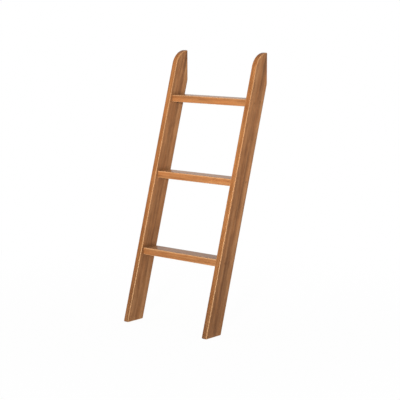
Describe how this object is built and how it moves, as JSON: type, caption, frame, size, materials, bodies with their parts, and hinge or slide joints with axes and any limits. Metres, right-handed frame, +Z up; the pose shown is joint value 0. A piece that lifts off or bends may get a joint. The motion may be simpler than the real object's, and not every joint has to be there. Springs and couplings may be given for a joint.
{
  "type": "bunk bed ladder",
  "caption": "Leaning wooden bunk bed ladder: flat stiles with rounded tops, plumb-cut backs that lie on a bed rail and level feet, joined by flat level treads.",
  "frame": {"origin": "on the floor, at the middle of the ladder's outline: midway between the stiles, and midway between the front of the feet and the rail faces", "axes": "+X along the treads, towards the right stile as seen by someone about to climb; +Y from the climber towards the bed; +Z up"},
  "size_m": [0.402, 0.3405, 0.993],
  "materials": {
    "stile_wood": "satin",
    "tread_wood": "satin",
    "plug_wood": "satin",
    "dowel_wood": "matte",
    "screw_steel": "satin"
  },
  "bodies": {
    "root": {"left_stile": "stile_wood", "right_stile": "stile_wood", "lower_tread": "tread_wood", "middle_tread": "tread_wood", "upper_tread": "tread_wood", "lower_left_screws": "screw_steel", "lower_right_screws": "screw_steel", "middle_left_screws": "screw_steel", "middle_right_screws": "screw_steel", "upper_left_screws": "screw_steel", "upper_right_screws": "screw_steel", "lower_left_plugs": "plug_wood", "lower_right_plugs": "plug_wood", "middle_left_plugs": "plug_wood", "middle_right_plugs": "plug_wood", "upper_left_plugs": "plug_wood", "upper_right_plugs": "plug_wood", "lower_left_dowel": "dowel_wood", "lower_right_dowel": "dowel_wood", "middle_left_dowel": "dowel_wood", "middle_right_dowel": "dowel_wood", "upper_left_dowel": "dowel_wood", "upper_right_dowel": "dowel_wood"}
  },
  "joints": []
}
